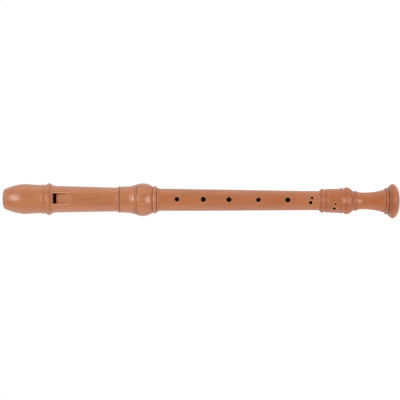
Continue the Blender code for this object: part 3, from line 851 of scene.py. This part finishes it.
def drum_tool(radius, low, high, centre, finish):
    """A large smooth drum about an upright axis through a point."""
    bpy.ops.mesh.primitive_cylinder_add(vertices=DRUM_SIDES, radius=radius, depth=high - low)
    tool = bpy.context.active_object
    tool.data.transform(Matrix.Translation((centre[0], centre[1], (high + low) / 2)))
    tool.data.materials.append(finish)
    return tool


def hollow_the_beak(piece, tip, finish):
    """Hollow the back of the beak with a drum laid across it."""
    rise = BEAK_WAIST_RADIUS - BEAK_CUT_OFFSET
    radius = (BEAK_CUT_LENGTH**2 + rise**2) / (2 * rise)
    reach = BEAK_RADIUS + OVERCUT
    drum = drum_tool(radius, -reach, reach, (0, 0), finish)
    across = Matrix.Rotation(math.pi / 2, 4, "Y")
    drum.data.transform(Matrix.Translation((0, BEAK_CUT_OFFSET + radius, tip)) @ across)
    carve(piece, drum)


head_low, head_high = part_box("head_joint")
block_low, block_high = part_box("block")
head_outside = Turning(BEAK_TIP_RADIUS - BEAK_LIP, head_high.z)
head_outside.curve(BEAK_LIP, BEAK_TIP_RADIUS, swelling)
head_outside.curve(BEAK_SWELL_LENGTH, BEAK_RADIUS, beak_curve)
head_outside.curve(BEAK_WAIST_LENGTH, BEAK_WAIST_RADIUS, easing)
head_outside.line(HEAD_COLLAR_LENGTH, HEAD_COLLAR_RADIUS)
head_outside.bead(HEAD_RING_LENGTH, HEAD_RING_RADIUS, HEAD_COLLAR_RADIUS)
head_outside.line(HEAD_GROOVE_LENGTH, HEAD_GROOVE_RADIUS)
head_outside.bead(HEAD_BEAD_LENGTH, HEAD_BEAD_RADIUS, HEAD_COVE_TOP_RADIUS)
head_outside.curve(HEAD_COVE_LENGTH, BARREL_TOP_RADIUS, swelling)
head_outside.curve(BARREL_LENGTH, BARREL_END_RADIUS, straight)
head_outside.curve(RIDGE_FLARE_LENGTH, RIDGE_FLARE_RADIUS, flaring)
head_outside.line(RIDGE_RISE_LENGTH, RIDGE_RADIUS)
head_outside.line(RIDGE_LENGTH, RIDGE_RADIUS)
head_outside.bead(RIDGE_SCORE_LENGTH, RIDGE_SCORE_RADIUS, SLEEVE_TOP_RADIUS)
head_outside.curve(SLEEVE_LENGTH, SLEEVE_RADIUS, straight)
head_outside.curve(SLEEVE_FLARE_LENGTH, SLEEVE_FLARE_RADIUS, flaring)
head_outside.bead(SCORE_LENGTH, SLEEVE_FLARE_RADIUS - SCORE_DEPTH, SLEEVE_FLARE_RADIUS)
head_outside.bead(FILLET_LENGTH, FILLET_RADIUS, FILLET_END_RADIUS)
head_outside.bead(SCORE_LENGTH, FILLET_END_RADIUS - SCORE_DEPTH, BULB_TOP_RADIUS)
head_outside.curve(BULB_RISE_LENGTH, BULB_RADIUS, swelling)
head_outside.curve(BULB_FALL_LENGTH, BULB_END_RADIUS, flaring)
head_outside.bead(MOUTH_GROOVE_LENGTH, MOUTH_GROOVE_RADIUS, MOUTH_BEAD_TOP_RADIUS)
head_outside.bead(MOUTH_BEAD_LENGTH, MOUTH_BEAD_RADIUS, MOUTH_BEAD_END_RADIUS)
head_outside.line(MOUTH_STEP_LENGTH, MOUTH_STEP_RADIUS)
head_outside.bead(MOUTH_LIP_LENGTH, MOUTH_LIP_RADIUS, MOUTH_LIP_END_RADIUS)
head_outside.line(MOUTH_EDGE_LENGTH, MOUTH_EDGE_RADIUS)

head_socket_radius = UPPER_TENON_RADIUS + SOCKET_CLEARANCE
head_socket_floor = head_low.z + HEAD_SOCKET_DEPTH
head_bore = [
    (head_socket_radius + EDGE_BREAK, head_low.z),
    (head_socket_radius, head_low.z + EDGE_BREAK),
    (head_socket_radius, head_socket_floor),
    (HEAD_BORE_RADIUS, head_socket_floor),
    (HEAD_BORE_RADIUS, head_high.z),
]
head_wood = turn_on_lathe("head_wood", head_outside.softened() + head_bore)
head_pearwood = oiled_pearwood(
    "head_pearwood",
    billet=HEAD_BILLET,
    pale=(0.610, 0.213, 0.074),
    deep=(0.430, 0.116, 0.030),
)
cut_pearwood = wood(
    "cut_pearwood",
    billet=HEAD_BILLET,
    pale=(0.620, 0.245, 0.110),
    deep=(0.460, 0.150, 0.060),
    ring_width=PEARWOOD_RING,
    rings=0.22,
    figure=0.8,
    hollow_shade=0.3,
    roughness=0.55,
    relief=PEARWOOD_RELIEF,
)
head_wood.data.materials.append(head_pearwood)
finish_inside(head_wood, bored_pearwood_painted_light, HEAD_BORE_RADIUS + WELD)
finish_inside(head_wood, bare_pearwood, head_socket_radius + WELD, high=head_socket_floor + WELD)

window_top = block_low.z
lip = window_top - WINDOW_LENGTH
arch_centre = (0, WINDWAY_ARCH_RADIUS - WINDWAY_FLOOR_DEPTH)
half_windway = WINDWAY_WIDTH / 2
channel = box_tool(
    (-half_windway, -HEAD_BORE_RADIUS - OVERCUT, window_top),
    (half_windway, -half_windway, head_high.z + OVERCUT),
    bare_pearwood,
)
roof_radius = WINDWAY_ARCH_RADIUS + WINDWAY_HEIGHT
roof_low, roof_high = window_top - OVERCUT, head_high.z + 2 * OVERCUT
roof = drum_tool(roof_radius, roof_low, roof_high, arch_centre, bare_pearwood)
carve(channel, roof, "INTERSECT")
carve(head_wood, channel)

half_window = WINDOW_WIDTH / 2
window = box_tool(
    (-half_window, -BARREL_TOP_RADIUS - OVERCUT, lip), (half_window, 0, window_top), cut_pearwood
)
carve(head_wood, window)

lip_level = HEAD_BORE_RADIUS + LIP_THICKNESS
slope = math.atan2(BARREL_TOP_RADIUS - lip_level, RAMP_LENGTH)
ramp = box_tool(
    (-half_window, -OVERCUT, -RAMP_LENGTH - OVERCUT), (half_window, half_window, 0), cut_pearwood
)
core = drum_tool(
    RAMP_ARCH_RADIUS, -RAMP_LENGTH - 2 * OVERCUT, OVERCUT, (0, RAMP_ARCH_RADIUS), cut_pearwood
)
carve(ramp, core)
ramp.data.transform(Matrix.Translation((0, -lip_level, lip)) @ Matrix.Rotation(-slope, 4, "X"))
carve(head_wood, ramp)
hollow_the_beak(head_wood, head_high.z, head_pearwood)
finish_surface(head_wood)
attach(head_wood, "head")
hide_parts("head_joint")

# Block. A plug of cedar pushed up the beak's bore, which swells little when wet.
# Its arched top is the floor of the windway, its lower end is the window's edge,
# and its back is hollowed flush with the beak.

BLOCK_CLEARANCE = 0.0003
BLOCK_SIDES = 96
CEDAR_RING = 0.0014
CEDAR_RELIEF = 0.00003

cedar = wood(
    "bare_cedar",
    billet=(0.03, 0.012, 0.0),
    pale=(0.470, 0.215, 0.120),
    deep=(0.270, 0.095, 0.048),
    ring_width=CEDAR_RING,
    rings=0.45,
    figure=0.4,
    hollow_shade=0.5,
    roughness=0.66,
    relief=CEDAR_RELIEF,
)
bpy.ops.mesh.primitive_cylinder_add(
    vertices=BLOCK_SIDES,
    radius=HEAD_BORE_RADIUS - BLOCK_CLEARANCE,
    depth=block_high.z - block_low.z,
)
block_cedar = bpy.context.active_object
block_cedar.name = "block_cedar"
block_cedar.data.transform(Matrix.Translation((0, 0, (block_high.z + block_low.z) / 2)))
block_cedar.data.materials.append(cedar)
floor_drum = drum_tool(
    WINDWAY_ARCH_RADIUS, block_low.z - OVERCUT, block_high.z + OVERCUT, arch_centre, cedar
)
carve(block_cedar, floor_drum, "INTERSECT")
hollow_the_beak(block_cedar, head_high.z, cedar)
finish_surface(block_cedar)
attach(block_cedar, "block")
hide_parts("block")

# Studio. A pale floor that runs out into a white ground, two soft boxes to the
# left and right of the lens, and the camera turned on its side.

WHITE = (1.0, 1.0, 1.0, 1.0)
FLOOR_SIZE = 8.0
FLOOR_GLOW = 0.6
BACK_LIGHT = 2.0
FRONT_LIGHT = 0.6
END_LIGHT = 0.15
LIGHT_ABOVE = 1.12
LIGHT_BELOW = 1.08
ROOM_LIGHT = 0.15
ROOM_BEHIND = 0.6
BEAK_BOX_RISE = math.radians(40)
BEAK_BOX_SWING = math.radians(8)
BEAK_BOX_DISTANCE = 2.2
BEAK_BOX_SHARE = 0.9
BELL_BOX_RISE = math.radians(-37)
BELL_BOX_SWING = math.radians(-3)
BELL_BOX_DISTANCE = 3.2
BELL_BOX_SHARE = 0.9
BOX_WIDTH = 0.36
BOX_HEIGHT = 0.66
BOX_RADIANCE = 4.6
PIXEL = 0.001275
LENS_PIXELS = 900
BELL_PIXEL = 397.28
FRAME_MIDDLE = 200
LENS_AZIMUTH = math.radians(3.4)
LENS_ROLL = 0.0057


def seen_or_mirrored(tree):
    """One where the lens sees straight, by a reflection or through glass, and else nought."""
    ray = put(tree, "LightPath").outputs
    mirrored = maths(tree, "MAXIMUM", ray["Is Glossy Ray"], ray["Is Transmission Ray"])
    return maths(tree, "MAXIMUM", ray["Is Camera Ray"], mirrored)


def pale_floor():
    """Matte white, lifted to the white ground where the lens sees it, shadows kept."""
    finish = bpy.data.materials.new("pale_floor")
    finish.use_nodes = True
    tree = finish.node_tree
    surface = tree.nodes["Principled BSDF"]
    surface.inputs["Base Color"].default_value = (0.92, 0.92, 0.92, 1.0)
    surface.inputs["Roughness"].default_value = 0.9
    surface.inputs["Emission Color"].default_value = WHITE
    glow = maths(tree, "MULTIPLY", seen_or_mirrored(tree), FLOOR_GLOW)
    tree.links.new(glow, surface.inputs["Emission Strength"])
    return finish


bpy.ops.mesh.primitive_plane_add(size=FLOOR_SIZE)
studio_floor = bpy.context.active_object
studio_floor.name = "studio_floor"
studio_floor.data.materials.append(pale_floor())
studio_floor.visible_shadow = False
studio_floor.visible_glossy = False
studio_floor.visible_diffuse = False

world = bpy.data.worlds.new("white_ground")
bpy.context.scene.world = world
world.use_nodes = True
sky = world.node_tree
way_out = put(sky, "SeparateXYZ", {0: put(sky, "TexCoord").outputs["Generated"]}).outputs

# Light falls mostly from behind the recorder and little along its length
behind = graded(sky, way_out["Y"], -0.9, 0.1, FRONT_LIGHT, BACK_LIGHT)
beside = graded(sky, maths(sky, "ABSOLUTE", way_out["Z"]), 0.05, 0.75, 1.0, END_LIGHT)
lean = graded(sky, way_out["X"], -0.8, 0.8, LIGHT_BELOW, LIGHT_ABOVE)
strength = maths(sky, "MULTIPLY", maths(sky, "MULTIPLY", behind, beside), lean)
soft = put(sky, "Background", {"Color": WHITE, "Strength": strength})

# Polished wood mirrors a dim room in front, and the lens sees the ground as white
room = graded(sky, way_out["Y"], -0.9, -0.2, ROOM_LIGHT, ROOM_BEHIND)
room = maths(sky, "MULTIPLY", room, lean)
brightness = maths(sky, "MAXIMUM", put(sky, "LightPath").outputs["Is Camera Ray"], room)
ground = put(sky, "Background", {"Color": WHITE, "Strength": brightness})
either = put(sky, "MixShader", {0: seen_or_mirrored(sky), 1: soft.outputs[0], 2: ground.outputs[0]})
sky.links.new(either.outputs[0], sky.nodes["World Output"].inputs["Surface"])

recorder_middle = Vector((0, 0, (BELL_PIXEL - FRAME_MIDDLE) * PIXEL))
soft_boxes = [
    ("soft_box_beak", BEAK_BOX_RISE, BEAK_BOX_SWING, BEAK_BOX_DISTANCE, BEAK_BOX_SHARE),
    ("soft_box_bell", BELL_BOX_RISE, BELL_BOX_SWING, BELL_BOX_DISTANCE, BELL_BOX_SHARE),
]
for name, rise, swing, distance, share in soft_boxes:
    lamp = bpy.data.lights.new(name, "AREA")
    lamp.shape = "RECTANGLE"
    lamp.size = BOX_HEIGHT * distance
    lamp.size_y = BOX_WIDTH * distance
    lamp.energy = share * BOX_RADIANCE * math.pi * lamp.size * lamp.size_y
    holder = bpy.data.objects.new(name, lamp)
    bpy.context.scene.collection.objects.link(holder)
    level = math.cos(rise)
    towards = Vector((math.sin(swing) * level, -math.cos(swing) * level, math.sin(rise)))
    holder.location = recorder_middle + towards * distance
    holder.rotation_euler = towards.to_track_quat("Z", "Y").to_euler()
    holder.visible_camera = False

forward = Vector((math.sin(LENS_AZIMUTH), math.cos(LENS_AZIMUTH), 0))
aside = forward.cross(Vector((0, 0, 1)))
right = (Vector((0, 0, -1)) * math.cos(LENS_ROLL) + aside * math.sin(LENS_ROLL)).normalized()
upward = right.cross(forward)
lens = bpy.data.cameras.new("camera")
lens.angle = 2 * math.atan(FRAME_MIDDLE / LENS_PIXELS)
camera = bpy.data.objects.new("camera", lens)
bpy.context.scene.collection.objects.link(camera)
standpoint = recorder_middle - forward * LENS_PIXELS * PIXEL
lens_turn = Matrix((right, upward, -forward)).transposed().to_4x4()
camera.matrix_world = Matrix.Translation(standpoint) @ lens_turn
bpy.context.scene.camera = camera
bpy.context.scene.view_settings.view_transform = "Standard"
